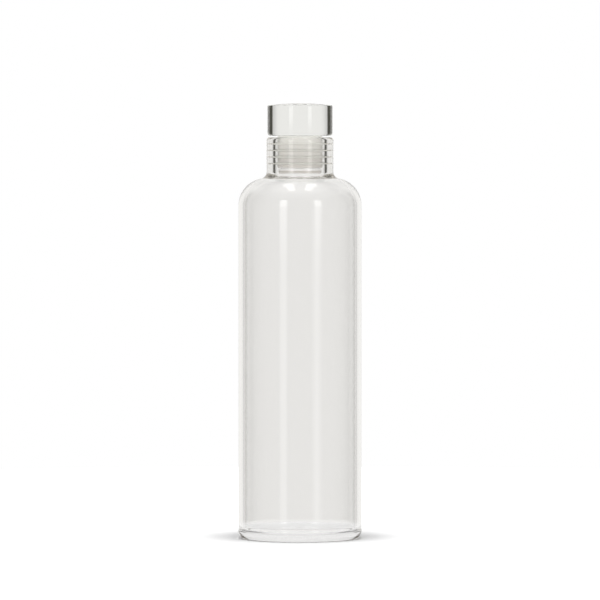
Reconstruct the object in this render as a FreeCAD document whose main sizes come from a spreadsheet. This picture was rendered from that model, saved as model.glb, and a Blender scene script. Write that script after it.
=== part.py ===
"""Glass water bottle with a lift-out stopper.

The bottle is one blown glass shell. The stopper is a solid glass head, a hollow moulded plug, an end
cap and a row of soft sealing rings. Millimetres, +Z up, origin at the middle of the base.
"""

import FreeCAD, Part

import math
import os
from types import SimpleNamespace

import Sketcher

# The driving sizes, in millimetres. The sheet's aliases are these names.
SIZES = {
    # bottle
    "body_radius": 32.5,
    "bottle_height": 211.4,
    "wall": 3.0,
    "base_thickness": 2.4,
    "base_edge_radius": 4.0,
    "base_inner_radius": 4.5,
    "foot_width": 6.5,
    "punt_rise": 0.3,
    "shoulder_radius": 14.75,
    "shoulder_height": 175.3,
    "shoulder_wall": 1.25,
    "neck_radius": 17.6,
    "neck_wall": 4.5,
    "neck_foot_radius": 3.5,
    "neck_inner_foot_radius": 4.5,
    "lip_radius": 1.5,
    # stopper head
    "head_inset": 0.45,
    "head_height": 16.0,
    "head_crown": 1.2,
    "head_lift": 0.8,
    "head_lower_round": 1.5,
    "head_upper_round": 0.7,
    "stem_radius": 7.0,
    "stem_depth": 9.0,
    # plug and end cap
    "plug_gap": 1.25,
    "plug_wall": 2.85,
    "plug_upper_round": 0.4,
    "plug_lower_round": 0.9,
    "recess_depth": 5.5,
    "cap_inset": 0.55,
    "cap_thickness": 2.9,
    "cap_seam": 0.4,
    "cap_seam_depth": 1.0,
    "cap_spigot_length": 3.0,
    "cap_round": 0.8,
    # sealing rings
    "ring_pitch": 3.45,
    "ring_start": 4.3,
    "ring_end": 2.35,
    "ring_root_height": 1.4,
    "ring_edge_height": 0.9,
    "ring_root_depth": 1.1,
    # clearances
    "ring_bore_clearance": 0.08,
    "push_fit_clearance": 0.05,
}
RING_COUNT = 4

CLOSE = 1e-4  # how near two lengths are to be the same one, in millimetres


class Length:
    """A length in millimetres with the sheet expression that it comes from."""

    def __init__(self, value, text):
        self.value = value
        self.text = text

    def __float__(self):
        return float(self.value)

    def __add__(self, other):
        return Length(float(self) + float(other), f"({self.text} + {text_of(other)})")

    def __sub__(self, other):
        return Length(float(self) - float(other), f"({self.text} - {text_of(other)})")

    def __mul__(self, count):
        return Length(float(self) * count, f"({self.text} * {count})")

    def __truediv__(self, count):
        return Length(float(self) / count, f"({self.text} / {count})")


def text_of(length):
    return length.text if isinstance(length, Length) else str(length)


def make_sheet(doc):
    """The spreadsheet of driving sizes, and each of them as a Length, with what follows from them."""
    sheet = doc.addObject("Spreadsheet::Sheet", "sizes")
    for row, (name, value) in enumerate(SIZES.items(), start=1):
        sheet.set(f"A{row}", name)
        sheet.set(f"B{row}", str(value))
        sheet.setAlias(f"B{row}", name)
    doc.recompute()
    s = SimpleNamespace(**{name: Length(value, f"sizes.{name}") for name, value in SIZES.items()})
    s.inner_radius = s.body_radius - s.wall
    s.bore_radius = s.neck_radius - s.neck_wall
    s.head_radius = s.neck_radius - s.head_inset
    s.plug_radius = s.bore_radius - s.plug_gap
    s.cap_radius = s.plug_radius - s.cap_inset
    s.recess_radius = s.plug_radius - s.plug_wall
    s.groove_radius = s.plug_radius - s.ring_root_depth
    s.plug_top = s.bottle_height + s.head_lift
    s.first_ring = s.plug_top - s.ring_start
    s.plug_bottom = s.first_ring - s.ring_pitch * (RING_COUNT - 1) - s.ring_end
    return s


class Outline:
    """A closed outline of lines and arcs in a body's XZ plane: X is the radius and Y the height.

    Each piece starts where the last one ended. Smooth joins are tangent, the others only meet.
    """

    def __init__(self, body, name):
        self.sketch = body.newObject("Sketcher::SketchObject", name)
        plane = next(f for f in body.Origin.OriginFeatures if f.Role == "XZ_Plane")
        self.sketch.AttachmentSupport = [(plane, "")]
        self.sketch.MapMode = "FlatFace"
        self.last = self.first = None

    def add(self, geometry, start, end, smooth):
        index = self.sketch.addGeometry(geometry, False)
        if self.last:
            self.join(self.last, (index, start), smooth)
        self.first = self.first or (index, start)
        self.last = (index, end)
        return index

    def join(self, earlier, later, smooth):
        self.constrain("Tangent" if smooth else "Coincident", *earlier, *later)

    def constrain(self, kind, *places):
        return self.sketch.addConstraint(Sketcher.Constraint(kind, *places))

    def line(self, start, end, smooth=False):
        """A straight piece, kept level or upright when it starts out that way."""
        points = [FreeCAD.Vector(float(x), float(y), 0) for x, y in (start, end)]
        index = self.add(Part.LineSegment(*points), 1, 2, smooth)
        if abs(points[0].y - points[1].y) < CLOSE:
            self.constrain("Horizontal", index)
        if abs(points[0].x - points[1].x) < CLOSE:
            self.constrain("Vertical", index)
        return index

    def arc(self, centre, radius, start_deg, end_deg, smooth=True):
        """A round piece from one angle to the other, either way round."""
        middle = FreeCAD.Vector(float(centre[0]), float(centre[1]), 0)
        circle = Part.Circle(middle, FreeCAD.Vector(0, 0, 1), float(radius))
        low, high = sorted((math.radians(start_deg), math.radians(end_deg)))
        ends = (1, 2) if start_deg < end_deg else (2, 1)
        return self.add(Part.ArcOfCircle(circle, low, high), *ends, smooth)

    def close(self):
        self.join(self.last, self.first, smooth=False)

    def bind(self, kind, name, length, *places):
        """A dimension constraint that takes its value from the sheet."""
        index = self.constrain(kind, *places, float(length))
        self.sketch.renameConstraint(index, name)
        self.sketch.setExpression(f"Constraints.{name}", length.text)

    def radius(self, index, name, length):
        self.bind("Radius", name, length, index)

    def across(self, index, end, name, length):
        """How far a point is from the axis."""
        self.bind("DistanceX", name, length, -1, 1, index, end)

    def up(self, index, end, name, length):
        """How high a point is above the origin."""
        self.bind("DistanceY", name, length, -1, 1, index, end)

    def on_axis(self, index, end):
        """Puts a point on the turning axis."""
        self.constrain("PointOnObject", index, end, -2)

    def on_ground(self, index, end):
        """Puts a point on the level line through the origin."""
        self.constrain("PointOnObject", index, end, -1)


def new_body(doc, name):
    body = doc.addObject("PartDesign::Body", name)
    body.Label = name
    return body


def turned(body, outline, kind, name):
    """Turns an outline once round the vertical axis, to add or to cut a solid."""
    feature = body.newObject(kind, name)
    feature.Profile = (outline.sketch, [""])
    feature.ReferenceAxis = (outline.sketch, ["V_Axis"])
    feature.Angle = 360
    body.Document.recompute()
    return feature


def rim_edge(feature, radius, height):
    """The name of the round edge of that radius at that height."""
    for number, edge in enumerate(feature.Shape.Edges, start=1):
        if isinstance(edge.Curve, Part.Circle) and abs(edge.Curve.Radius - float(radius)) < CLOSE:
            if abs(edge.Curve.Center.z - float(height)) < CLOSE:
                return f"Edge{number}"
    raise RuntimeError(f"{feature.Label} has no round edge of radius {float(radius)}")


def round_rim(body, feature, radius, height, name, size):
    """Rounds one rim of a turned piece by a size from the sheet."""
    fillet = body.newObject("PartDesign::Fillet", name)
    fillet.Base = (feature, [rim_edge(feature, radius, height)])
    fillet.setExpression("Radius", size.text)
    body.Document.recompute()
    return fillet


def fillet_place(arch_centre, arch_radius, upright, radius):
    """Centre of a fillet between an arch and an upright wall, and the angle of their join."""
    aside = float(upright + radius) - float(arch_centre[0])
    span = float(arch_radius + radius)
    height = float(arch_centre[1]) + math.sqrt(span**2 - aside**2)
    return (upright + radius, height), math.degrees(math.acos(aside / span))


def dome_place(half_width, rise, top):
    """Centre, radius and edge angle of a shallow dome on the axis, from its width and rise."""
    radius = (float(half_width) ** 2 + float(rise) ** 2) / (2 * float(rise))
    edge_angle = math.degrees(math.acos(float(half_width) / radius))
    return (0, float(top) - radius), radius, edge_angle


def make_bottle(doc, s):
    """The blown shell, turned from the section of its wall."""
    body = new_body(doc, "glass_bottle")
    outline = Outline(body, "bottle_section")
    shoulder = (s.body_radius - s.shoulder_radius, s.shoulder_height)
    inner_arch = s.shoulder_radius - s.shoulder_wall
    arch_place = (s.inner_radius - inner_arch, s.shoulder_height)
    outer_foot, outer_angle = fillet_place(
        shoulder, s.shoulder_radius, s.neck_radius, s.neck_foot_radius
    )
    inner_foot, inner_angle = fillet_place(
        arch_place, inner_arch, s.bore_radius, s.neck_inner_foot_radius
    )
    lip_base = s.bottle_height - s.lip_radius
    edge_centre = s.body_radius - s.base_edge_radius
    foot_inner = edge_centre - s.foot_width
    corner = (s.inner_radius - s.base_inner_radius, s.base_thickness + s.base_inner_radius)
    punt_centre, punt_radius, punt_angle = dome_place(foot_inner, s.punt_rise, s.punt_rise)

    foot = outline.line((foot_inner, 0), (edge_centre, 0))
    base_edge = outline.arc((edge_centre, s.base_edge_radius), s.base_edge_radius, -90, 0)
    barrel = outline.line(
        (s.body_radius, s.base_edge_radius), (s.body_radius, s.shoulder_height), smooth=True
    )
    outer_shoulder = outline.arc(shoulder, s.shoulder_radius, 0, outer_angle)
    outer_fillet_arc = outline.arc(outer_foot, s.neck_foot_radius, outer_angle + 180, 180)
    neck = outline.line((s.neck_radius, outer_foot[1]), (s.neck_radius, lip_base), smooth=True)
    outer_lip = outline.arc((s.neck_radius - s.lip_radius, lip_base), s.lip_radius, 0, 90)
    lip = outline.line(
        (s.neck_radius - s.lip_radius, s.bottle_height),
        (s.bore_radius + s.lip_radius, s.bottle_height),
        smooth=True,
    )
    inner_lip = outline.arc((s.bore_radius + s.lip_radius, lip_base), s.lip_radius, 90, 180)
    bore = outline.line((s.bore_radius, lip_base), (s.bore_radius, inner_foot[1]), smooth=True)
    inner_fillet_arc = outline.arc(
        inner_foot, s.neck_inner_foot_radius, 180, inner_angle + 180
    )
    inner_shoulder = outline.arc(arch_place, inner_arch, inner_angle, 0)
    inner_barrel = outline.line(
        (s.inner_radius, s.shoulder_height), (s.inner_radius, corner[1]), smooth=True
    )
    inner_corner = outline.arc(corner, s.base_inner_radius, 0, -90)
    floor = outline.line((corner[0], s.base_thickness), (0, s.base_thickness), smooth=True)
    middle = outline.line((0, s.base_thickness), (0, s.punt_rise))
    punt = outline.arc(punt_centre, punt_radius, 90, punt_angle, smooth=False)
    outline.close()

    outline.on_ground(foot, 1)
    outline.on_axis(floor, 2)
    outline.on_axis(punt, 3)
    outline.across(foot, 1, "foot_inner", foot_inner)
    outline.across(barrel, 1, "body_radius", s.body_radius)
    outline.across(neck, 1, "neck_radius", s.neck_radius)
    outline.across(bore, 1, "bore_radius", s.bore_radius)
    outline.across(inner_barrel, 1, "inner_radius", s.inner_radius)
    outline.up(barrel, 2, "shoulder_height", s.shoulder_height)
    outline.up(inner_barrel, 1, "inner_shoulder_height", s.shoulder_height)
    outline.up(lip, 1, "bottle_height", s.bottle_height)
    outline.up(floor, 2, "base_thickness", s.base_thickness)
    outline.up(middle, 2, "punt_rise", s.punt_rise)
    outline.radius(base_edge, "base_edge_radius", s.base_edge_radius)
    outline.radius(outer_shoulder, "outer_shoulder_radius", s.shoulder_radius)
    outline.radius(outer_fillet_arc, "outer_foot_radius", s.neck_foot_radius)
    outline.radius(outer_lip, "outer_lip_radius", s.lip_radius)
    outline.radius(inner_lip, "inner_lip_radius", s.lip_radius)
    outline.radius(inner_fillet_arc, "inner_foot_radius", s.neck_inner_foot_radius)
    outline.radius(inner_shoulder, "inner_shoulder_radius", inner_arch)
    outline.radius(inner_corner, "base_inner_radius", s.base_inner_radius)
    turned(body, outline, "PartDesign::Revolution", "bottle_shell")
    return body


def make_head(doc, s):
    """The solid glass puck over the lip, with a stem that goes into the plug."""
    body = new_body(doc, "stopper_head")
    outline = Outline(body, "head_section")
    under = s.plug_top
    stem_end = under - s.stem_depth
    rim = under + s.head_height
    crown_top = rim + s.head_crown
    crown_centre, crown_radius, crown_angle = dome_place(s.head_radius, s.head_crown, crown_top)

    stem_face = outline.line((0, stem_end), (s.stem_radius, stem_end))
    stem = outline.line((s.stem_radius, stem_end), (s.stem_radius, under))
    underside = outline.line((s.stem_radius, under), (s.head_radius, under))
    side = outline.line((s.head_radius, under), (s.head_radius, rim))
    crown = outline.arc(crown_centre, crown_radius, crown_angle, 90, smooth=False)
    middle = outline.line((0, crown_top), (0, stem_end))
    outline.close()

    outline.on_axis(stem_face, 1)
    outline.on_axis(crown, 3)
    outline.across(stem, 1, "stem_radius", s.stem_radius)
    outline.across(side, 1, "head_radius", s.head_radius)
    outline.up(stem_face, 2, "stem_end", stem_end)
    outline.up(underside, 2, "underside", under)
    outline.up(side, 2, "rim", rim)
    outline.up(middle, 1, "crown_top", crown_top)
    puck = turned(body, outline, "PartDesign::Revolution", "head_blank")
    lower = round_rim(body, puck, s.head_radius, under, "head_lower_round", s.head_lower_round)
    round_rim(body, lower, s.head_radius, rim, "head_upper_round", s.head_upper_round)
    return body


def make_plug(doc, s):
    """The hollow moulded plug: a socket above, a recess below, and a groove for each ring."""
    body = new_body(doc, "stopper_plug")
    outline = Outline(body, "plug_section")
    socket_radius = s.stem_radius + s.push_fit_clearance
    socket_floor = s.plug_top - s.stem_depth - s.push_fit_clearance
    recess_top = s.plug_bottom + s.recess_depth

    socket_end = outline.line((0, socket_floor), (socket_radius, socket_floor))
    socket = outline.line((socket_radius, socket_floor), (socket_radius, s.plug_top))
    upper_face = outline.line((socket_radius, s.plug_top), (s.plug_radius, s.plug_top))
    side = outline.line((s.plug_radius, s.plug_top), (s.plug_radius, s.plug_bottom))
    lower_face = outline.line((s.plug_radius, s.plug_bottom), (s.recess_radius, s.plug_bottom))
    recess = outline.line((s.recess_radius, s.plug_bottom), (s.recess_radius, recess_top))
    recess_end = outline.line((s.recess_radius, recess_top), (0, recess_top))
    outline.line((0, recess_top), (0, socket_floor))
    outline.close()

    outline.on_axis(socket_end, 1)
    outline.across(socket, 1, "socket_radius", socket_radius)
    outline.across(side, 1, "plug_radius", s.plug_radius)
    outline.across(recess, 1, "recess_radius", s.recess_radius)
    outline.up(socket_end, 2, "socket_floor", socket_floor)
    outline.up(upper_face, 1, "plug_top", s.plug_top)
    outline.up(lower_face, 1, "plug_bottom", s.plug_bottom)
    outline.up(recess_end, 1, "recess_top", recess_top)
    blank = turned(body, outline, "PartDesign::Revolution", "plug_blank")
    upper = round_rim(
        body, blank, s.plug_radius, s.plug_top, "plug_upper_round", s.plug_upper_round
    )
    lower = round_rim(
        body, upper, s.plug_radius, s.plug_bottom, "plug_lower_round", s.plug_lower_round
    )

    section = Outline(body, "ring_groove_section")
    high = s.first_ring + s.ring_root_height / 2
    low = s.first_ring - s.ring_root_height / 2
    lower_edge = section.line((s.groove_radius, low), (s.plug_radius, low))
    mouth = section.line((s.plug_radius, low), (s.plug_radius, high))
    upper_edge = section.line((s.plug_radius, high), (s.groove_radius, high))
    section.line((s.groove_radius, high), (s.groove_radius, low))
    section.close()
    section.across(lower_edge, 1, "groove_radius", s.groove_radius)
    section.across(mouth, 1, "groove_mouth", s.plug_radius)
    section.up(lower_edge, 2, "groove_low", low)
    section.up(upper_edge, 1, "groove_high", high)
    groove = turned(body, section, "PartDesign::Groove", "ring_groove")
    if groove.Shape.Volume > lower.Shape.Volume - CLOSE:
        raise RuntimeError("the ring groove cuts nothing")

    pattern = body.newObject("PartDesign::LinearPattern", "ring_grooves")
    axis = next(f for f in body.Origin.OriginFeatures if f.Role == "Z_Axis")
    pattern.Originals = [groove]
    pattern.Direction = (axis, [""])
    pattern.Reversed = True
    pattern.Occurrences = RING_COUNT
    pattern.setExpression("Length", (s.ring_pitch * (RING_COUNT - 1)).text)
    body.Tip = pattern
    doc.recompute()
    return body


def make_end_cap(doc, s):
    """The round cap that closes the plug from below, with a narrow seam under the plug."""
    body = new_body(doc, "plug_end_cap")
    outline = Outline(body, "cap_section")
    bottom = s.plug_bottom - s.cap_thickness
    flange_top = s.plug_bottom - s.cap_seam
    step_radius = s.cap_radius - s.cap_seam_depth
    spigot_radius = s.recess_radius - s.push_fit_clearance
    spigot_top = s.plug_bottom + s.cap_spigot_length

    under = outline.line((0, bottom), (s.cap_radius, bottom))
    flange = outline.line((s.cap_radius, bottom), (s.cap_radius, flange_top))
    seam = outline.line((s.cap_radius, flange_top), (step_radius, flange_top))
    step = outline.line((step_radius, flange_top), (step_radius, s.plug_bottom))
    seat = outline.line((step_radius, s.plug_bottom), (spigot_radius, s.plug_bottom))
    spigot = outline.line((spigot_radius, s.plug_bottom), (spigot_radius, spigot_top))
    top = outline.line((spigot_radius, spigot_top), (0, spigot_top))
    outline.line((0, spigot_top), (0, bottom))
    outline.close()

    outline.on_axis(under, 1)
    outline.across(flange, 1, "cap_radius", s.cap_radius)
    outline.across(step, 1, "step_radius", step_radius)
    outline.across(spigot, 1, "spigot_radius", spigot_radius)
    outline.up(under, 2, "cap_bottom", bottom)
    outline.up(seam, 1, "flange_top", flange_top)
    outline.up(seat, 1, "seat_height", s.plug_bottom)
    outline.up(top, 1, "spigot_top", spigot_top)
    blank = turned(body, outline, "PartDesign::Revolution", "cap_blank")
    round_rim(body, blank, s.cap_radius, bottom, "cap_round", s.cap_round)
    return body


def make_ring(doc, s, number):
    """One soft ring: a square root in its groove and a tapered, rounded edge at the bore."""
    body = new_body(doc, f"seal_ring_{number}")
    outline = Outline(body, f"ring_section_{number}")
    inner = s.groove_radius + s.push_fit_clearance
    edge_radius = s.ring_edge_height / 2
    edge_centre = s.bore_radius - s.ring_bore_clearance - edge_radius
    middle = s.ring_root_height / 2

    under = outline.line((inner, 0), (s.plug_radius, 0))
    lower_taper = outline.line((s.plug_radius, 0), (edge_centre, middle - edge_radius))
    edge = outline.arc((edge_centre, middle), edge_radius, -90, 90, smooth=False)
    outline.line((edge_centre, middle + edge_radius), (s.plug_radius, s.ring_root_height))
    over = outline.line((s.plug_radius, s.ring_root_height), (inner, s.ring_root_height))
    side = outline.line((inner, s.ring_root_height), (inner, 0))
    outline.close()

    outline.on_ground(under, 1)
    for end in (1, 2):
        outline.constrain("Vertical", edge, 3, edge, end)
    outline.across(side, 1, "ring_inner", inner)
    outline.across(lower_taper, 1, "root_end_under", s.plug_radius)
    outline.across(over, 1, "root_end_over", s.plug_radius)
    outline.across(edge, 3, "edge_centre", edge_centre)
    outline.up(edge, 3, "edge_middle", middle)
    outline.up(over, 2, "root_height", s.ring_root_height)
    outline.radius(edge, "edge_radius", edge_radius)
    turned(body, outline, "PartDesign::Revolution", f"ring_{number}")
    ring_under = s.first_ring - s.ring_pitch * (number - 1) - middle
    body.setExpression("Placement.Base.z", ring_under.text)
    doc.recompute()
    return body


def check(doc, bodies):
    """Stops on any failed object, loose sketch or bad solid, before a file is written."""
    for item in doc.Objects:
        if {"Invalid", "Error"} & set(item.State):
            raise RuntimeError(f"{item.Label} failed: {item.State}")
        if item.TypeId == "Sketcher::SketchObject" and not item.FullyConstrained:
            raise RuntimeError(f"{item.Label} isn't fully constrained")
    for body in bodies:
        if body.Shape.isNull() or not body.Shape.isValid() or len(body.Shape.Solids) != 1:
            raise RuntimeError(f"{body.Label} isn't one valid solid")


def main():
    doc = FreeCAD.newDocument("bottle")
    s = make_sheet(doc)
    bodies = [make_bottle(doc, s), make_head(doc, s), make_plug(doc, s), make_end_cap(doc, s)]
    bodies += [make_ring(doc, s, number) for number in range(1, RING_COUNT + 1)]
    doc.recompute()
    check(doc, bodies)
    os.makedirs("parts", exist_ok=True)
    for body in bodies:
        body.Shape.exportStep(f"parts/{body.Label}.step")
        print(f"{body.Label}: {body.Shape.Volume:.1f} mm3")


main()
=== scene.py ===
"""Glass water bottle with a lift-out stopper, modelled around the frame in metres, +Z up.

The bottle is turned from the section of its blown wall, the stopper from the sections of its head,
plug, end cap and sealing rings. The studio hangs on an arm that turns with the camera: a bright
panel behind the bottle, two tall soft lamps in front of it, a dim ceiling with two strips, and a
card that lights the matt pieces in the glass. Gauze round the bottle shades the pale floor.
"""

import math

import bmesh
import bpy
from bpy.props import FloatProperty, FloatVectorProperty, IntProperty, PointerProperty
from bpy.types import Operator, Panel, PropertyGroup
from mathutils import Matrix, Vector


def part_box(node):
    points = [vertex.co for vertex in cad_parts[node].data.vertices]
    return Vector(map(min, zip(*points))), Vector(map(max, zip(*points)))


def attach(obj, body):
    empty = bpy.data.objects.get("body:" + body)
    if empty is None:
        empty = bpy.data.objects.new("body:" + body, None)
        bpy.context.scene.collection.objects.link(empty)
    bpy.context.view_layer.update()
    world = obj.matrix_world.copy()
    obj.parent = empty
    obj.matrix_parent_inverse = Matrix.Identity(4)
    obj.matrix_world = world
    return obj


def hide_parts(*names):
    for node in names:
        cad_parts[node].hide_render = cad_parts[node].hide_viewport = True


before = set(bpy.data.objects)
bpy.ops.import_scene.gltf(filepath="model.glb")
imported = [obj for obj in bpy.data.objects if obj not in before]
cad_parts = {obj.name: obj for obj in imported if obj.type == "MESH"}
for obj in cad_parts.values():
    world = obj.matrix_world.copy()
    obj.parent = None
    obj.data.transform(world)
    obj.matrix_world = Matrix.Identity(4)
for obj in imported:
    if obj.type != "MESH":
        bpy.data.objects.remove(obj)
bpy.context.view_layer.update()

bl_info = {
    "name": "Glass water bottle",
    "version": (1, 0, 0),
    "blender": (4, 5, 0),
    "location": "View3D > Sidebar > Bottle",
    "description": "Builds a glass water bottle with a ringed stopper, and the studio it stands in",
    "category": "Add Mesh",
}

MM = 0.001
MERGE_DISTANCE = 0.001 * MM
SHARP_EDGE = math.radians(28)
WHITE = (1, 1, 1, 1)
# Enough for light that runs to and fro inside the thick glass of the neck and the head
BOUNCES = 48
BOTTLE_LOW, BOTTLE_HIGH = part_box("glass_bottle")
HEAD_LOW, HEAD_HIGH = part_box("stopper_head")
PLUG_LOW, PLUG_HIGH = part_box("stopper_plug")
CAP_LOW, CAP_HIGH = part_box("plug_end_cap")
RINGS = [f"seal_ring_{number}" for number in range(1, 5)]


# Properties


def length(name, description, default):
    """A size in metres."""
    return FloatProperty(name=name, description=description, default=default, unit="LENGTH")


def angle(name, description, degrees):
    """An angle, given in degrees."""
    return FloatProperty(
        name=name, description=description, default=math.radians(degrees), subtype="ANGLE"
    )


def amount(name, description, default):
    """A radiance, or a share of one."""
    return FloatProperty(name=name, description=description, default=default, min=0)


def colour(name, description, default):
    """A colour, given as an sRGB hex value."""
    return FloatVectorProperty(
        name=name, description=description, default=linear(default), subtype="COLOR", size=3
    )


def linear(hex_colour):
    """An sRGB hex colour as linear red, green and blue."""
    channels = [int(hex_colour[place : place + 2], 16) / 255 for place in (1, 3, 5)]
    return [c / 12.92 if c <= 0.04045 else ((c + 0.055) / 1.055) ** 2.4 for c in channels]


class BottleSizes(PropertyGroup):
    """Sizes of the blown glass."""

    wall: length("Wall", "Thickness of the barrel", 3.0 * MM)
    neck_wall: length("Neck wall", "Thickness of the neck", 4.5 * MM)
    neck_radius: length("Neck radius", "Outer radius of the neck", 17.6 * MM)
    neck_foot_radius: length("Neck foot", "Radius of the hollow below the neck", 3.5 * MM)
    neck_inner_foot_radius: length("Inner neck foot", "Rounding below the bore", 4.5 * MM)
    lip_radius: length("Lip", "Rounding of the melted lip", 1.5 * MM)
    shoulder_radius: length("Shoulder", "Radius of the shoulder's arch", 14.75 * MM)
    shoulder_wall: length("Shoulder wall", "Thickness over the shoulder's top", 1.25 * MM)
    shoulder_height: length("Shoulder height", "Where the barrel ends", 175.3 * MM)
    base_thickness: length("Base", "Height of the inner floor", 2.4 * MM)
    base_edge_radius: length("Base edge", "Outer rounding of the base", 4.0 * MM)
    base_inner_radius: length("Inner corner", "Rounding between floor and wall", 4.5 * MM)
    foot_width: length("Foot width", "Width of the ring it stands on", 6.5 * MM)
    punt_rise: length("Punt", "Rise of the base inside the foot ring", 0.3 * MM)
    turns: IntProperty(
        name="Facets", description="Steps round the axis", default=240, min=24, max=360
    )


class StopperSizes(PropertyGroup):
    """Sizes of the head, the plug, the end cap and the rings."""

    head_crown: length("Crown", "Rise of the head's top", 1.2 * MM)
    head_height: length("Head height", "Height of the head's side", 16.0 * MM)
    head_lower_round: length("Lower edge", "Rounding under the head", 1.5 * MM)
    head_upper_round: length("Upper edge", "Rounding over the head", 0.7 * MM)
    stem_radius: length("Stem", "Radius of the stem in the plug", 7.0 * MM)
    plug_wall: length("Plug wall", "Thickness of the plug", 2.85 * MM)
    plug_upper_round: length("Plug's top edge", "Rounding over the plug", 0.4 * MM)
    plug_lower_round: length("Plug's lower edge", "Rounding under the plug", 0.9 * MM)
    push_fit: length("Push fit", "Clearance between pieces that are pushed together", 0.05 * MM)
    recess_depth: length("Recess", "Depth of the plug's lower recess", 5.5 * MM)
    ring_root_depth: length("Ring groove", "Depth of the grooves for the rings", 1.1 * MM)
    ring_edge_height: length("Ring edge", "Thickness of a ring's edge", 0.9 * MM)
    ring_edge_depth: length("Ring bevel", "How far in a ring's edge is bevelled", 0.2 * MM)
    ring_edge_bevel: length("Ring bevel height", "Height of that bevel", 0.15 * MM)
    ring_touch: length("Ring touch", "How far a ring presses on the glass", 0.03 * MM)
    cap_seam: length("Seam", "Gap between the plug and its cap", 0.4 * MM)
    cap_seam_depth: length("Seam depth", "How far the seam goes in", 1.0 * MM)
    cap_lower_round: length("Cap's lower edge", "Rounding under the end cap", 0.8 * MM)
    cap_upper_round: length("Cap's upper edge", "Rounding at the seam", 0.2 * MM)


class Finishes(PropertyGroup):
    """Colours of the materials."""

    bottle_tint: colour("Bottle tint", "What is left of white light in the wall", "#F9F8F6")
    head_tint: colour("Head tint", "What is left of white light in the head", "#F8F9F6")
    plug_colour: colour("Plug", "The moulded plug", "#EDECE7")
    cloud_colour: colour("Plug's clouds", "The plug where the melt is cloudy", "#E7E6E1")
    # Painted shade: the plug's colour turns greyer towards its lower end, as if lit from above
    plug_shade_colour: colour("Thin plug", "What the plug's lower end keeps of its colour", "#E2DEDD")
    # Painted highlight: a bright band painted over the seam between the plug and its cap
    seam_highlight_colour: colour("Seam", "The bright join of the plug and its cap", "#F9F8F6")
    ring_colour: colour("Rings", "The soft rings", "#E0DFDA")
    floor_colour: colour("Floor", "The floor", "#F4F4F4")
    # Painted shadow: the dark grey of a ring painted on the floor under the foot, a contact shadow
    contact_shadow_colour: colour("Contact", "The floor where the bottle stands on it", "#595959")
    panel_colour: colour("Panel", "The bright panel's light", "#FFFEFC")
    room_colour: colour("Room", "The dim room's light", "#FFFDEC")


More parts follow.
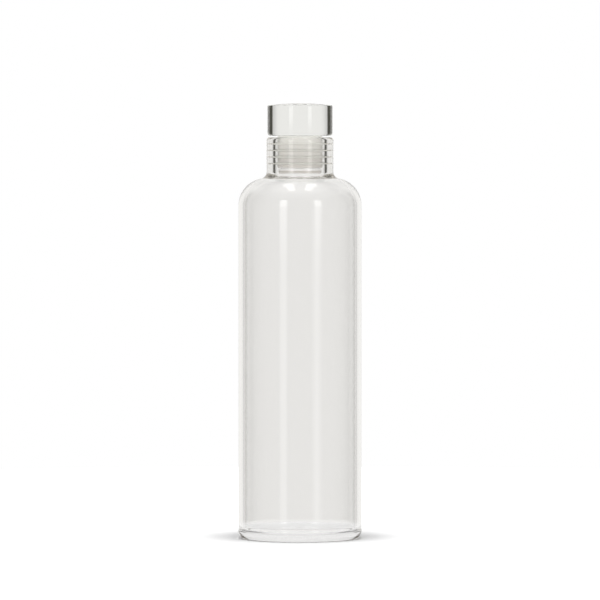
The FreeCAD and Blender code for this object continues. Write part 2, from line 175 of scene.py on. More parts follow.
class StudioSizes(PropertyGroup):
    """The floor, the lamps and the camera."""

    floor_radius: length("Floor", "Radius of the round floor", 0.6)
    camera_distance: length("Camera distance", "From the bottle's axis to the camera", 2.95)
    camera_height: length("Camera height", "Above the floor", 0.222)
    aim_height: length("Aim", "Height that the camera points at", 0.1257)
    view_width: length("View width", "What the picture spans at the bottle", 0.3162)
    lamp_distance: length("Lamp distance", "From the bottle to the lamps", 2.0)
    lamp_height: length("Lamp height", "Height of the lamps", 1.8)
    left_angle: angle("Left angle", "From the camera to the left lamp", 32)
    right_angle: angle("Right angle", "From the camera to the right lamp", 35)
    left_spread: angle("Left spread", "Width of the left lamp, seen from the bottle", 20)
    right_spread: angle("Right spread", "Width of the right lamp, seen from the bottle", 18)
    lamp_low_light: amount("Low lamp light", "Radiance of the lamps' lower half", 0.594)
    lamp_high_light: amount("High lamp light", "Radiance of the lamps' upper half", 2.52)
    panel_distance: length("Panel distance", "From the bottle to the bright panel", 3.0)
    panel_half_angle: angle("Panel", "Half of the panel's width, seen from the bottle", 46)
    panel_top: angle("Panel's top", "How high over the bottle the panel reaches", 80)
    panel_bottom: angle("Panel's bottom", "How far below level the panel reaches", 50)
    panel_light: amount("Panel light", "Radiance of the panel's middle", 0.92)
    panel_edge_light: amount("Panel edge light", "Radiance at the panel's sides", 0.66)
    ceiling_height: length("Ceiling", "From the aim up to the dim ceiling", 2.4)
    ceiling_width: length("Ceiling width", "Side of the square ceiling", 7.0)
    ceiling_light: amount("Ceiling light", "Radiance of the ceiling", 0.4)
    strip_height: length("Strips", "From the aim up to the two strips", 2.3)
    strip_width: length("Strip width", "Width of a strip", 0.45)
    strip_length: length("Strip length", "Length of a strip", 1.6)
    strip_aside: length("Strip place", "From the middle to a strip, sideways", 0.48)
    strip_forward: length("Strip forward", "From the middle to a strip, forwards", 0.25)
    strip_light: amount("Strip light", "Radiance of the strips", 2.6)
    front_distance: length("Front card", "From the bottle to the front card", 2.5)
    front_width: length("Front card width", "Width of the front card", 3.0)
    front_height: length("Front card height", "Height of the front card", 2.0)
    front_light: amount("Front light", "Radiance of the front card on matt pieces", 1.9)
    fill_light: amount("Fill light", "Radiance of the room on matt pieces in the glass", 1.0)
    room_light: amount("Room light", "Radiance of the room on the glass", 0.08)
    floor_light: amount("Floor light", "Radiance of the room on the floor", 1.54)
    floor_shading: amount("Floor shading", "Share of shadow in the floor that the glass sees", 0.15)
    floor_seen: length("Floor seen", "How far out the glass sees the whole floor", 0.08)
    floor_gone: length("Floor gone", "Where the glass sees no more of the floor", 0.14)
    # Painted shade: a ring under the bottle's edge where the floor's glow is dimmed
    edge_shade_inset: length("Edge ring", "From the bottle's side in to the shaded ring", 0.9 * MM)
    edge_shade_reach: length("Edge ring reach", "Half of that ring's width", 1.2 * MM)
    edge_shade_glow: amount("Edge glow", "What is left of the floor's glow in that ring", 0.3)
    # Painted contact shadow: where the dark grey ring sits on the floor, and how wide it is
    contact_shadow_inset: length("Contact ring", "From the bottle's side in to the contact", 3.7 * MM)
    contact_shadow_reach: length("Contact reach", "Half of the contact ring's width", 0.9 * MM)
    sleeve_gap: length("Sleeve gap", "From the glass to the gauze sleeve", 0.5 * MM)
    sleeve_foot: length("Sleeve foot", "From the floor to the gauze sleeve", 0.3 * MM)
    sleeve_shade: amount("Sleeve shade", "Share of light that the sleeve takes", 0.9)
    disc_radius: length("Disc", "Radius of the gauze disc", 46 * MM)
    disc_height: length("Disc height", "From the floor to the gauze disc", 28 * MM)
    disc_back: length("Disc place", "From the bottle's axis back to the disc's middle", 14 * MM)
    disc_shade: amount("Disc shade", "Share of light that the disc takes", 0.85)


# Shaping


def placed(name, bm):
    """A bmesh's shape as an object of the scene."""
    mesh = bpy.data.meshes.new(name)
    bm.to_mesh(mesh)
    bm.free()
    made = bpy.data.objects.new(name, mesh)
    bpy.context.scene.collection.objects.link(made)
    return made


class Section:
    """A turned piece's section, drawn point by point in the XZ plane, and then turned about Z."""

    def __init__(self, radius, height):
        self.bm = bmesh.new()
        self.tip = self.bm.verts.new((radius, 0, height))

    def line(self, radius, height):
        """A straight stretch to a place."""
        grown = bmesh.ops.extrude_vert_indiv(self.bm, verts=[self.tip])
        self.tip = grown["verts"][0]
        self.tip.co = (radius, 0, height)

    def arc(self, radius, height, degrees, steps):
        """A round stretch about a centre. Plus turns to the left, minus to the right."""
        bmesh.ops.spin(
            self.bm,
            geom=[self.tip],
            cent=(radius, 0, height),
            axis=(0, -1, 0),
            dvec=(0, 0, 0),
            angle=math.radians(degrees),
            steps=steps,
            use_duplicate=False,
        )
        self.bm.verts.ensure_lookup_table()
        self.tip = self.bm.verts[-1]

    def turned(self, name, turns):
        """The finished piece: one closed skin with its faces outwards."""
        bmesh.ops.spin(
            self.bm,
            geom=self.bm.verts[:] + self.bm.edges[:],
            cent=(0, 0, 0),
            axis=(0, 0, 1),
            dvec=(0, 0, 0),
            angle=math.tau,
            steps=turns,
            use_merge=True,
            use_duplicate=False,
        )
        bmesh.ops.remove_doubles(self.bm, verts=self.bm.verts, dist=MERGE_DISTANCE)
        bmesh.ops.dissolve_degenerate(self.bm, edges=self.bm.edges, dist=MERGE_DISTANCE)
        bmesh.ops.recalc_face_normals(self.bm, faces=self.bm.faces)
        piece = placed(name, self.bm)
        for face in piece.data.polygons:
            face.use_smooth = True
        piece.data.set_sharp_from_angle(angle=SHARP_EDGE)
        return piece


def fillet_place(arch_centre, arch_radius, upright, radius):
    """Centre of a fillet between an arch and an upright wall, and the angle of their join."""
    aside = upright + radius - arch_centre[0]
    span = arch_radius + radius
    height = arch_centre[1] + math.sqrt(span**2 - aside**2)
    return (upright + radius, height), math.degrees(math.acos(aside / span))


def dome_radius(half_width, rise):
    """Radius of a shallow dome of that half width and rise."""
    return (half_width**2 + rise**2) / (2 * rise)


def finished(piece, body, node, material):
    """Hands a piece over: its material, the body it moves with and the part it stands for."""
    piece.data.materials.append(material)
    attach(piece, body)
    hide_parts(node)


def staged(piece, material, *unseen_by):
    """Gives a piece of the studio its material, and hides it from the kinds of ray that don't meet
    it.
    """
    piece.data.materials.append(material)
    for kind in unseen_by:
        setattr(piece, f"visible_{kind}", False)


# Materials


def put(tree, kind, inputs=None, **settings):
    """Adds a node with its settings, and its inputs as values or as links from other nodes."""
    made = tree.nodes.new(kind)
    for name, value in settings.items():
        setattr(made, name, value)
    for name, value in (inputs or {}).items():
        if isinstance(value, bpy.types.NodeSocket):
            tree.links.new(value, made.inputs[name])
        else:
            made.inputs[name].default_value = value
    return made


def new_material(name):
    """An empty material with its output node."""
    material = bpy.data.materials.new(name)
    material.use_nodes = True
    material.node_tree.nodes.clear()
    return material, material.node_tree, put(material.node_tree, "ShaderNodeOutputMaterial")


def blown_borosilicate(colours):
    """Borosilicate glass, blown in a mould and fire-polished.

    The skin is glassy smooth with a slow waviness of a few centimetres, longer up and down than
    round, so that the reflections of the lamps swim a little. The wall takes off a trace of light.
    """
    material, tree, output = new_material("Blown borosilicate glass")
    place = put(tree, "ShaderNodeTexCoord").outputs["Object"]
    drawn = put(tree, "ShaderNodeMapping", {"Vector": place, "Scale": (1.0, 1.0, 0.3)})
    swell = put(
        tree,
        "ShaderNodeTexNoise",
        {"Vector": drawn.outputs["Vector"], "Scale": 1 / (25 * MM), "Detail": 1.0},
    )
    waves = put(
        tree,
        "ShaderNodeBump",
        {"Height": swell.outputs["Fac"], "Strength": 0.03, "Distance": 0.1 * MM},
    )
    glass = put(
        tree,
        "ShaderNodeBsdfPrincipled",
        {
            "Base Color": WHITE,
            "Roughness": 0.0,
            "IOR": 1.47,
            "Transmission Weight": 1.0,
            "Normal": waves.outputs["Normal"],
        },
    )
    depth = put(
        tree,
        "ShaderNodeVolumeAbsorption",
        {"Color": (*colours.bottle_tint, 1), "Density": 60.0},
    )
    tree.links.new(glass.outputs["BSDF"], output.inputs["Surface"])
    tree.links.new(depth.outputs["Volume"], output.inputs["Volume"])
    return material


def pressed_glass(colours):
    """Clear soda-lime glass, pressed in a mould, ground and polished: dense, very smooth, a little
    warm where it is thick."""
    material, tree, output = new_material("Pressed clear glass")
    place = put(tree, "ShaderNodeTexCoord").outputs["Object"]
    swell = put(
        tree, "ShaderNodeTexNoise", {"Vector": place, "Scale": 1 / (8 * MM), "Detail": 2.0}
    )
    waves = put(
        tree,
        "ShaderNodeBump",
        {"Height": swell.outputs["Fac"], "Strength": 0.03, "Distance": 0.1 * MM},
    )
    glass = put(
        tree,
        "ShaderNodeBsdfPrincipled",
        {
            "Base Color": WHITE,
            "Roughness": 0.0,
            "IOR": 1.5,
            "Transmission Weight": 1.0,
            "Normal": waves.outputs["Normal"],
        },
    )
    depth = put(
        tree,
        "ShaderNodeVolumeAbsorption",
        {"Color": (*colours.head_tint, 1), "Density": 20.0},
    )
    tree.links.new(glass.outputs["BSDF"], output.inputs["Surface"])
    tree.links.new(depth.outputs["Volume"], output.inputs["Volume"])
    return material


def moulded_plastic(colours):
    """Translucent polypropylene, injection moulded: milky, with a smooth gloss and faint clouding
    from the melt's flow. It carries a painted shade, greyer downwards as if lit from above, and a
    painted highlight on the seam over the end cap."""
    material, tree, output = new_material("Moulded translucent polypropylene")
    place = put(tree, "ShaderNodeTexCoord").outputs["Object"]
    flow = put(
        tree, "ShaderNodeTexNoise", {"Vector": place, "Scale": 1 / (6 * MM), "Detail": 3.0}
    )
    clouding = put(
        tree,
        "ShaderNodeMix",
        {
            "Factor": flow.outputs["Fac"],
            "A": (*colours.plug_colour, 1),
            "B": (*colours.cloud_colour, 1),
        },
        data_type="RGBA",
    )
    height = put(tree, "ShaderNodeSeparateXYZ", {"Vector": place}).outputs["Z"]
    # Painted shade: the colour darkens from the plug's top down to the cap's bottom, as if lit from
    # above
    downward_shade_mask = put(
        tree,
        "ShaderNodeMapRange",
        {
            "Value": height,
            "From Min": CAP_LOW.z,
            "From Max": PLUG_HIGH.z,
            "To Min": 1.0,
            "To Max": 0.0,
        },
    )
    downward_shaded = put(
        tree,
        "ShaderNodeMix",
        {
            "Factor": downward_shade_mask.outputs["Result"],
            "A": clouding.outputs["Result"],
            "B": (*colours.plug_shade_colour, 1),
        },
        data_type="RGBA",
        blend_type="MULTIPLY",
    )
    # Painted highlight: a band 1.5 mm high, from just over the plug's lower edge down on to the cap
    seam = put(
        tree,
        "ShaderNodeMath",
        {0: height, 1: PLUG_LOW.z - 0.55 * MM, 2: 0.75 * MM},
        operation="COMPARE",
    )
    seam_highlight_painted = put(
        tree,
        "ShaderNodeMix",
        {
            "Factor": seam.outputs[0],
            "A": downward_shaded.outputs["Result"],
            "B": (*colours.seam_highlight_colour, 1),
        },
        data_type="RGBA",
    )
    skin = put(
        tree,
        "ShaderNodeBsdfPrincipled",
        {
            "Base Color": seam_highlight_painted.outputs["Result"],
            "Roughness": 0.15,
            "IOR": 1.49,
            "Subsurface Weight": 0.3,
            "Subsurface Radius": (1.0, 1.0, 1.0),
            "Subsurface Scale": 1.0 * MM,
        },
    )
    tree.links.new(skin.outputs["BSDF"], output.inputs["Surface"])
    return material


def cast_silicone(colours):
    """Silicone rubber, cast: milky, with a matt skin of very fine grain. The grain is drawn at
    0.6 mm, coarser than the real one, so that it shows."""
    material, tree, output = new_material("Cast silicone rubber")
    place = put(tree, "ShaderNodeTexCoord").outputs["Object"]
    grain = put(
        tree, "ShaderNodeTexNoise", {"Vector": place, "Scale": 1 / (0.6 * MM), "Detail": 2.0}
    )
    skin_grain = put(
        tree,
        "ShaderNodeBump",
        {"Height": grain.outputs["Fac"], "Strength": 0.1, "Distance": 0.05 * MM},
    )
    skin = put(
        tree,
        "ShaderNodeBsdfPrincipled",
        {
            "Base Color": (*colours.ring_colour, 1),
            "Roughness": 0.4,
            "IOR": 1.41,
            "Normal": skin_grain.outputs["Normal"],
        },
    )
    tree.links.new(skin.outputs["BSDF"], output.inputs["Surface"])
    return material


# Operators


class BOTTLE_OT_blow_bottle(Operator):
    """Turns the glass bottle from the section of its wall"""

    bl_idname = "bottle.blow_bottle"
    bl_label = "Blow bottle"

    def execute(self, context):
        size = context.scene.bottle_sizes
        radius, top = BOTTLE_HIGH.x, BOTTLE_HIGH.z
        inner_radius = radius - size.wall
        bore_radius = size.neck_radius - size.neck_wall
        shoulder = (radius - size.shoulder_radius, size.shoulder_height)
        inner_arch = size.shoulder_radius - size.shoulder_wall
        foot, outer_angle = fillet_place(
            shoulder, size.shoulder_radius, size.neck_radius, size.neck_foot_radius
        )
        inner_shoulder = (inner_radius - inner_arch, size.shoulder_height)
        inner_foot, inner_angle = fillet_place(
            inner_shoulder, inner_arch, bore_radius, size.neck_inner_foot_radius
        )
        lip_base = top - size.lip_radius
        edge_centre = radius - size.base_edge_radius
        foot_inner = edge_centre - size.foot_width
        corner_radius = inner_radius - size.base_inner_radius
        corner_height = size.base_thickness + size.base_inner_radius
        punt_radius = dome_radius(foot_inner, size.punt_rise)
        punt_angle = math.degrees(math.asin(foot_inner / punt_radius))

        section = Section(0, size.punt_rise)
        section.arc(0, size.punt_rise - punt_radius, -punt_angle, steps=12)
        section.line(edge_centre, 0)
        section.arc(edge_centre, size.base_edge_radius, 90, steps=16)
        section.line(radius, size.shoulder_height)
        section.arc(*shoulder, outer_angle, steps=28)
        section.arc(*foot, -outer_angle, steps=14)
        section.line(size.neck_radius, lip_base)
        section.arc(size.neck_radius - size.lip_radius, lip_base, 90, steps=12)
        section.line(bore_radius + size.lip_radius, top)
        section.arc(bore_radius + size.lip_radius, lip_base, 90, steps=12)
        section.line(bore_radius, inner_foot[1])
        section.arc(*inner_foot, inner_angle, steps=16)
        section.arc(*inner_shoulder, -inner_angle, steps=24)
        section.line(inner_radius, corner_height)
        section.arc(corner_radius, corner_height, -90, steps=20)
        section.line(0, size.base_thickness)
        piece = section.turned("bottle_glass", size.turns)
        material = blown_borosilicate(context.scene.bottle_finishes)
        finished(piece, "bottle", "glass_bottle", material)
        return {"FINISHED"}


class BOTTLE_OT_press_head(Operator):
    """Turns the stopper's solid glass head with its stem"""

    bl_idname = "bottle.press_head"
    bl_label = "Press head"

    def execute(self, context):
        size = context.scene.stopper_sizes
        radius, top = HEAD_HIGH.x, HEAD_HIGH.z
        rim = top - size.head_crown
        under = rim - size.head_height
        lower, upper = size.head_lower_round, size.head_upper_round
        crown_radius = dome_radius(radius, size.head_crown)
        crown_centre = top - crown_radius
        round_height = crown_centre + math.sqrt(
            (crown_radius - upper) ** 2 - (radius - upper) ** 2
        )
        round_angle = math.degrees(math.atan2(round_height - crown_centre, radius - upper))

        section = Section(0, HEAD_LOW.z)
        section.line(size.stem_radius, HEAD_LOW.z)
        section.line(size.stem_radius, under)
        section.line(radius - lower, under)
        section.arc(radius - lower, under + lower, 90, steps=14)
        section.line(radius, round_height)
        section.arc(radius - upper, round_height, round_angle, steps=10)
        section.arc(0, crown_centre, 90 - round_angle, steps=16)
        piece = section.turned("stopper_head_glass", context.scene.bottle_sizes.turns)
        material = pressed_glass(context.scene.bottle_finishes)
        finished(piece, "stopper", "stopper_head", material)
        return {"FINISHED"}


class BOTTLE_OT_mould_plug(Operator):
    """Turns the moulded plug with its ring grooves, and the end cap under it"""

    bl_idname = "bottle.mould_plug"
    bl_label = "Mould plug and cap"

    def execute(self, context):
        size = context.scene.stopper_sizes
        turns = context.scene.bottle_sizes.turns
        material = moulded_plastic(context.scene.bottle_finishes)
        self.turn_plug(size, turns, material)
        self.turn_cap(size, turns, material)
        return {"FINISHED"}

    def turn_plug(self, size, turns, material):
        """The plug, with a socket for the stem, a groove for each ring and a recess from below."""
        radius, top, bottom = PLUG_HIGH.x, PLUG_HIGH.z, PLUG_LOW.z
        upper, lower = size.plug_upper_round, size.plug_lower_round
        socket = size.stem_radius + size.push_fit
        socket_floor = HEAD_LOW.z - size.push_fit
        recess = radius - size.plug_wall
        groove = radius - size.ring_root_depth
        section = Section(0, socket_floor)
        section.line(socket, socket_floor)
        section.line(socket, top)
        section.line(radius - upper, top)
        section.arc(radius - upper, top - upper, -90, steps=6)
        for ring in RINGS:
            low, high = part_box(ring)
            section.line(radius, high.z)
            section.line(groove, high.z)
            section.line(groove, low.z)
            section.line(radius, low.z)
        section.line(radius, bottom + lower)
        section.arc(radius - lower, bottom + lower, -90, steps=8)
        section.line(recess, bottom)
        section.line(recess, bottom + size.recess_depth)
        section.line(0, bottom + size.recess_depth)
        piece = section.turned("plug_shell", turns)
        finished(piece, "stopper", "stopper_plug", material)

    def turn_cap(self, size, turns, material):
        """The end cap: a disc under the plug's seam, and a spigot in the plug's recess."""
        radius, top, bottom = CAP_HIGH.x, CAP_HIGH.z, CAP_LOW.z
        lower, edge = size.cap_lower_round, size.cap_upper_round
        flange_top = PLUG_LOW.z - size.cap_seam
        step = radius - size.cap_seam_depth
        spigot = PLUG_HIGH.x - size.plug_wall - size.push_fit
        section = Section(0, bottom)
        section.line(radius - lower, bottom)
        section.arc(radius - lower, bottom + lower, 90, steps=8)
        section.line(radius, flange_top - edge)
        section.arc(radius - edge, flange_top - edge, 90, steps=4)
        section.line(step, flange_top)
        section.line(step, PLUG_LOW.z)
        section.line(spigot, PLUG_LOW.z)
        section.line(spigot, top)
        section.line(0, top)
        piece = section.turned("plug_cap", turns)
        finished(piece, "stopper", "plug_end_cap", material)


class BOTTLE_OT_seat_rings(Operator):
    """Turns the soft sealing rings, each in its groove of the plug"""

    bl_idname = "bottle.seat_rings"
    bl_label = "Seat rings"

    def execute(self, context):
        bottle, size = context.scene.bottle_sizes, context.scene.stopper_sizes
        material = cast_silicone(context.scene.bottle_finishes)
        inner = PLUG_HIGH.x - size.ring_root_depth + size.push_fit
        outer = bottle.neck_radius - bottle.neck_wall + size.ring_touch
        bevelled = outer - size.ring_edge_depth
        edge = size.ring_edge_height / 2
        flat = edge - size.ring_edge_bevel
        for number, ring in enumerate(RINGS, start=1):
            low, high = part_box(ring)
            middle = (low.z + high.z) / 2
            section = Section(inner, low.z)
            section.line(PLUG_HIGH.x, low.z)
            section.line(bevelled, middle - edge)
            section.line(outer, middle - flat)
            section.line(outer, middle + flat)
            section.line(bevelled, middle + edge)
            section.line(PLUG_HIGH.x, high.z)
            section.line(inner, high.z)
            section.line(inner, low.z)
            piece = section.turned(f"silicone_ring_{number}", bottle.turns)
            finished(piece, "stopper", ring, material)
        return {"FINISHED"}


class BOTTLE_OT_set_stage(Operator):
    """Sets up the floor, the lamps, the room's light and the camera"""

    bl_idname = "bottle.set_stage"
    bl_label = "Set stage"

    def execute(self, context):
        scene = context.scene
        studio, colours = scene.bottle_studio, scene.bottle_finishes
        self.lay_floor(studio, colours)
        scene.camera = self.place_camera(studio)
        arm = bpy.data.objects.new("lamp_arm", None)
        scene.collection.objects.link(arm)
        arm.location = (0, 0, studio.aim_height)
        turn = arm.constraints.new("COPY_ROTATION")
        turn.target = scene.camera
        self.hang_panel(studio, colours, arm)
        self.hang_lamp(studio, arm, "left_lamp", -studio.left_angle, studio.left_spread)
        self.hang_lamp(studio, arm, "right_lamp", studio.right_angle, studio.right_spread)
        self.hang_top_lights(studio, arm)
        self.hang_front_fill(studio, arm)
        self.wrap_shade(studio, scene.bottle_sizes.shoulder_height)
        scene.world = self.light_room(studio, colours)
        scene.view_settings.view_transform = "Standard"
        scene.cycles.max_bounces = BOUNCES
        scene.cycles.transmission_bounces = BOUNCES
        scene.cycles.glossy_bounces = BOUNCES
        scene.cycles.blur_glossy = 0
        return {"FINISHED"}

    def lay_floor(self, studio, colours):
        """A round white board.

        The glass sees it glow evenly with a trace of its shadow, dimmed by a painted shade ring
        under the bottle's edge, and only near the bottle, so that its far side draws no line in the
        wall. A dark grey ring painted under the foot is a painted contact shadow, seen by the
        camera and the glass.
        """
        bm = bmesh.new()
        bmesh.ops.create_circle(bm, cap_ends=True, segments=128, radius=studio.floor_radius)
        material, tree, output = new_material("Matt white board")
        pale = (*colours.floor_colour, 1)
        place = put(tree, "ShaderNodeTexCoord").outputs["Object"]
        reach = put(tree, "ShaderNodeVectorMath", {0: place}, operation="LENGTH").outputs["Value"]
        path = put(tree, "ShaderNodeLightPath").outputs
        # Painted shade: the floor's glow is dimmed in a ring under the bottle's edge
        edge_shade_ring = put(
            tree,
            "ShaderNodeMath",
            {0: reach, 1: BOTTLE_HIGH.x - studio.edge_shade_inset, 2: studio.edge_shade_reach},
            operation="COMPARE",
        )
        glow_after_edge_shade = put(
            tree,
            "ShaderNodeMapRange",
            {"Value": edge_shade_ring.outputs[0], "To Min": 1.0, "To Max": studio.edge_shade_glow},
        )
        glow = put(
            tree, "ShaderNodeEmission", {"Color": pale, "Strength": glow_after_edge_shade.outputs["Result"]}
        )
        # Painted contact shadow: a dark grey ring on the board under the bottle's foot
        contact_shadow_ring = put(
            tree,
            "ShaderNodeMath",
            {0: reach, 1: BOTTLE_HIGH.x - studio.contact_shadow_inset, 2: studio.contact_shadow_reach},
            operation="COMPARE",
        )
        contact_shadowed = put(
            tree,
            "ShaderNodeMix",
            {"Factor": contact_shadow_ring.outputs[0], "A": pale, "B": (*colours.contact_shadow_colour, 1)},
            data_type="RGBA",
        )
        board = put(tree, "ShaderNodeBsdfDiffuse", {"Color": contact_shadowed.outputs["Result"]})
        shaded = put(
            tree,
            "ShaderNodeMixShader",
            {0: studio.floor_shading, 1: glow.outputs[0], 2: board.outputs[0]},
        )
        far = put(
            tree,
            "ShaderNodeMapRange",
            {"Value": reach, "From Min": studio.floor_seen, "From Max": studio.floor_gone},
        )
        straight = put(
            tree, "ShaderNodeMath", {0: path["Diffuse Depth"], 1: 0.5}, operation="LESS_THAN"
        )
        gone = put(
            tree,
            "ShaderNodeMath",
            {0: far.outputs["Result"], 1: straight.outputs[0]},
            operation="MULTIPLY",
        )
        clear = put(tree, "ShaderNodeBsdfTransparent")
        near = put(
            tree,
            "ShaderNodeMixShader",
            {0: gone.outputs[0], 1: shaded.outputs[0], 2: clear.outputs[0]},
        )
        surface = put(
            tree,
            "ShaderNodeMixShader",
            {0: path["Is Camera Ray"], 1: near.outputs[0], 2: board.outputs[0]},
        )
        tree.links.new(surface.outputs[0], output.inputs["Surface"])
        material.cycles.emission_sampling = "NONE"
        staged(placed("floor", bm), material)

    def place_camera(self, studio):
        """The camera, a little over the bottle's top and aimed at its middle."""
        data = bpy.data.cameras.new("camera")
        camera = bpy.data.objects.new("camera", data)
        bpy.context.scene.collection.objects.link(camera)
        camera.location = (0, -studio.camera_distance, studio.camera_height)
        aim = Vector((0, 0, studio.aim_height)) - camera.location
        camera.rotation_euler = aim.to_track_quat("-Z", "Y").to_euler()
        data.sensor_width = 36
        data.lens = data.sensor_width * aim.length / studio.view_width
        data.clip_end = 100
        return camera

    def hang(self, piece, material, arm):
        """Puts a light on the lamp arm, where only the glass and the gloss can see it."""
        piece.parent = arm
        staged(piece, material, "camera", "diffuse", "shadow")
        return piece

    def card(self, name, width, height, material, arm):
        """A flat light on the lamp arm."""
        bm = bmesh.new()
        bmesh.ops.create_grid(bm, x_segments=1, y_segments=1, size=0.5)
        bmesh.ops.scale(bm, vec=(width, height, 1), verts=bm.verts)
        return self.hang(placed(name, bm), material, arm)

    def hang_panel(self, studio, colours, arm):
        """A bright sheet behind the bottle, bent from high over it to below the floor."""
        distance = studio.panel_distance
        half = distance * math.tan(studio.panel_half_angle)
        material, tree, output = new_material("Bright panel")
        place = put(tree, "ShaderNodeTexCoord").outputs["Object"]
        split = put(tree, "ShaderNodeSeparateXYZ", {"Vector": place})
        aside = put(tree, "ShaderNodeMath", {0: split.outputs["X"]}, operation="ABSOLUTE")
        fade = put(
            tree,
            "ShaderNodeMapRange",
            {
                "Value": aside.outputs[0],
                "From Min": half / 2,
                "From Max": half,
                "To Min": studio.panel_light,
                "To Max": studio.panel_edge_light,
            },
            interpolation_type="SMOOTHSTEP",
        )
        glow = put(
            tree,
            "ShaderNodeEmission",
            {"Color": (*colours.panel_colour, 1), "Strength": fade.outputs["Result"]},
        )
        tree.links.new(glow.outputs["Emission"], output.inputs["Surface"])
        material.cycles.emission_sampling = "NONE"
        bm = bmesh.new()
        ends = [bm.verts.new((side * half, 0, -distance)) for side in (-1, 1)]
        edge = bm.edges.new(ends)
        bmesh.ops.rotate(
            bm, verts=ends, cent=(0, 0, 0), matrix=Matrix.Rotation(studio.panel_top, 3, "X")
        )
        bmesh.ops.spin(
            bm,
            geom=[*ends, edge],
            cent=(0, 0, 0),
            axis=(-1, 0, 0),
            dvec=(0, 0, 0),
            angle=studio.panel_top + studio.panel_bottom,
            steps=48,
            use_duplicate=False,
        )
        self.hang(placed("bright_panel", bm), material, arm)

    def hang_lamp(self, studio, arm, name, aside, spread):
        """A tall soft lamp beside the camera. It brightens upwards over 20 cm round its middle,
        and fades sideways over the outer half of its width."""
        distance = studio.lamp_distance
        half = distance * math.tan(spread / 2)
        material, tree, output = new_material(f"Soft lamp {name}")
        place = put(tree, "ShaderNodeTexCoord").outputs["Object"]
        split = put(tree, "ShaderNodeSeparateXYZ", {"Vector": place})
        rise = put(
            tree,
            "ShaderNodeMapRange",
            {
                "Value": split.outputs["Y"],
                "From Min": -0.08,
                "From Max": 0.12,
                "To Min": studio.lamp_low_light,
                "To Max": studio.lamp_high_light,
            },
            interpolation_type="SMOOTHSTEP",
        )
        sideways = put(tree, "ShaderNodeMath", {0: split.outputs["X"]}, operation="ABSOLUTE")
        fade = put(
            tree,
            "ShaderNodeMapRange",
            {
                "Value": sideways.outputs[0],
                "From Min": half / 2,
                "From Max": half,
                "To Min": 1.0,
                "To Max": 0.0,
            },
            interpolation_type="SMOOTHSTEP",
        )
        light = put(
            tree,
            "ShaderNodeMath",
            {0: rise.outputs["Result"], 1: fade.outputs["Result"]},
            operation="MULTIPLY",
        )
        glow = put(tree, "ShaderNodeEmission", {"Color": WHITE, "Strength": light.outputs[0]})
        tree.links.new(glow.outputs["Emission"], output.inputs["Surface"])
        material.cycles.emission_sampling = "NONE"
        lamp = self.card(name, 2 * half, studio.lamp_height, material, arm)
        lamp.location = (distance * math.sin(aside), 0, distance * math.cos(aside))
        lamp.rotation_euler = (0, aside, 0)

    def hang_top_lights(self, studio, arm):
        """A wide dim ceiling over everything, and two brighter strips under it."""
        ceiling = (studio.ceiling_width, studio.ceiling_width)
        strip = (studio.strip_width, studio.strip_length)
        aside, up, ahead = studio.strip_aside, studio.strip_height, studio.strip_forward
        for name, light, size, place in (
            ("ceiling", studio.ceiling_light, ceiling, (0, studio.ceiling_height, 0)),
            ("left_strip", studio.strip_light, strip, (-aside, up, ahead)),
            ("right_strip", studio.strip_light, strip, (aside, up, ahead)),
        ):
            material, tree, output = new_material(f"Soft light {name}")
            glow = put(tree, "ShaderNodeEmission", {"Color": WHITE, "Strength": light})
            tree.links.new(glow.outputs["Emission"], output.inputs["Surface"])
            material.cycles.emission_sampling = "NONE"
            sheet = self.card(name, *size, material, arm)
            sheet.location = place
            sheet.rotation_euler = (math.pi / 2, 0, 0)

    def hang_front_fill(self, studio, arm):
        """A wide card beside the camera, for the matt pieces in the glass, not for the glass."""
        material, tree, output = new_material("Front fill")
        path = put(tree, "ShaderNodeLightPath").outputs
        scattered = put(
            tree, "ShaderNodeMath", {0: path["Diffuse Depth"], 1: 0.5}, operation="GREATER_THAN"
        )
        clear = put(tree, "ShaderNodeBsdfTransparent")
        glow = put(tree, "ShaderNodeEmission", {"Color": WHITE, "Strength": studio.front_light})
        mixed = put(
            tree,
            "ShaderNodeMixShader",
            {0: scattered.outputs[0], 1: clear.outputs[0], 2: glow.outputs[0]},
        )
        tree.links.new(mixed.outputs[0], output.inputs["Surface"])
        material.cycles.emission_sampling = "NONE"
        sheet = self.card("front_fill", studio.front_width, studio.front_height, material, arm)
        sheet.location = (0, 0, studio.front_distance)

    def wrap_shade(self, studio, top):
        """A sleeve just off the glass and a disc over the floor, which only matt pieces see.

        They take off some of the floor's light, as the glass does where it turns light aside.
        """
        radius, foot = BOTTLE_HIGH.x + studio.sleeve_gap, studio.sleeve_foot
        sleeve = bmesh.new()
        bmesh.ops.create_cone(
            sleeve, cap_ends=False, segments=96, radius1=radius, radius2=radius, depth=top - foot
        )
        bmesh.ops.translate(sleeve, vec=(0, 0, (top + foot) / 2), verts=sleeve.verts)
        self.shade("shade_sleeve", sleeve, studio.sleeve_shade)
        disc = bmesh.new()
        bmesh.ops.create_circle(disc, cap_ends=True, segments=96, radius=studio.disc_radius)
        bmesh.ops.translate(
            disc, vec=(0, studio.disc_back, studio.disc_height), verts=disc.verts
        )
        self.shade("shade_disc", disc, studio.disc_shade)

    def shade(self, name, bm, taken):
        """A black gauze that takes a share of the light."""
        material, tree, output = new_material(f"Gauze {name}")
        clear = put(tree, "ShaderNodeBsdfTransparent")
        dark = put(tree, "ShaderNodeBsdfDiffuse", {"Color": (0, 0, 0, 1)})
        mixed = put(
            tree, "ShaderNodeMixShader", {0: taken, 1: clear.outputs[0], 2: dark.outputs[0]}
        )
        tree.links.new(mixed.outputs[0], output.inputs["Surface"])
        staged(placed(name, bm), material, "camera", "glossy", "transmission", "shadow")

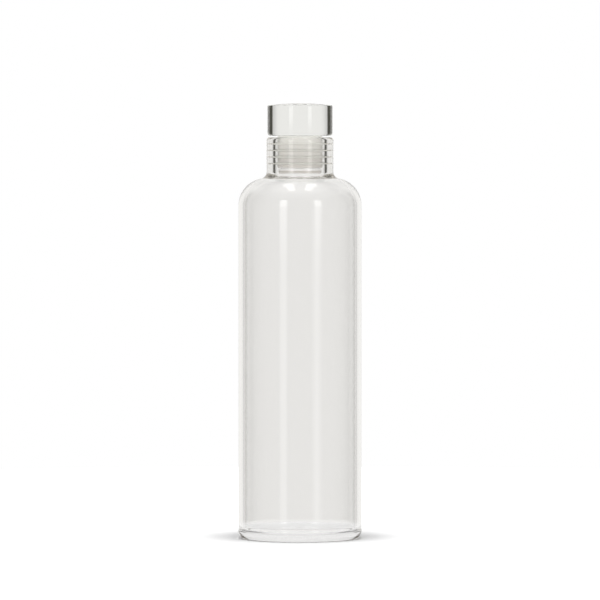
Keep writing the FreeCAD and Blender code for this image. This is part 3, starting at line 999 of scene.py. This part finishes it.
    def light_room(self, studio, colours):
        """White behind the bottle, even light on the floor, a fill on matt pieces in the glass,
        and a dim room on the glass."""
        world = bpy.data.worlds.new("room")
        world.use_nodes = True
        world.cycles.sampling_method = "NONE"
        tree = world.node_tree
        tree.nodes.clear()
        path = put(tree, "ShaderNodeLightPath").outputs
        backdrop = put(tree, "ShaderNodeBackground", {"Color": WHITE, "Strength": 1.0})
        even = put(
            tree, "ShaderNodeBackground", {"Color": WHITE, "Strength": studio.floor_light}
        )
        fill = put(tree, "ShaderNodeBackground", {"Color": WHITE, "Strength": studio.fill_light})
        room = put(
            tree,
            "ShaderNodeBackground",
            {"Color": (*colours.room_colour, 1), "Strength": studio.room_light},
        )
        scattered = put(
            tree, "ShaderNodeMath", {0: path["Diffuse Depth"], 1: 0.5}, operation="GREATER_THAN"
        )
        in_glass = put(
            tree,
            "ShaderNodeMixShader",
            {0: scattered.outputs[0], 1: room.outputs[0], 2: fill.outputs[0]},
        )
        around = put(
            tree,
            "ShaderNodeMixShader",
            {0: path["Is Diffuse Ray"], 1: in_glass.outputs[0], 2: even.outputs[0]},
        )
        seen = put(
            tree,
            "ShaderNodeMixShader",
            {0: path["Is Camera Ray"], 1: around.outputs[0], 2: backdrop.outputs[0]},
        )
        output = put(tree, "ShaderNodeOutputWorld")
        tree.links.new(seen.outputs[0], output.inputs["Surface"])
        return world


OPERATORS = (
    BOTTLE_OT_blow_bottle,
    BOTTLE_OT_press_head,
    BOTTLE_OT_mould_plug,
    BOTTLE_OT_seat_rings,
    BOTTLE_OT_set_stage,
)


class VIEW3D_PT_bottle(Panel):
    """The bottle's pieces and sizes, in the sidebar"""

    bl_idname = "VIEW3D_PT_bottle"
    bl_label = "Glass water bottle"
    bl_space_type = "VIEW_3D"
    bl_region_type = "UI"
    bl_category = "Bottle"

    def draw(self, context):
        layout = self.layout
        for operator in OPERATORS:
            layout.operator(operator.bl_idname)
        for group in PROPERTY_GROUPS:
            sizes = getattr(context.scene, group)
            layout.separator()
            for name in type(sizes).__annotations__:
                layout.prop(sizes, name)


PROPERTY_GROUPS = {
    "bottle_sizes": BottleSizes,
    "stopper_sizes": StopperSizes,
    "bottle_finishes": Finishes,
    "bottle_studio": StudioSizes,
}
CLASSES = (*PROPERTY_GROUPS.values(), *OPERATORS, VIEW3D_PT_bottle)


def register():
    """Registers the classes and hangs the groups of sizes on the scene."""
    for made in CLASSES:
        bpy.utils.register_class(made)
    for name, group in PROPERTY_GROUPS.items():
        setattr(bpy.types.Scene, name, PointerProperty(type=group))


def unregister():
    """Takes back what register did."""
    for name in PROPERTY_GROUPS:
        delattr(bpy.types.Scene, name)
    for made in reversed(CLASSES):
        bpy.utils.unregister_class(made)


def main():
    """Builds every piece and the stage."""
    register()
    for operator in OPERATORS:
        family, name = operator.bl_idname.split(".")
        getattr(getattr(bpy.ops, family), name)()


if __name__ == "__main__":
    main()
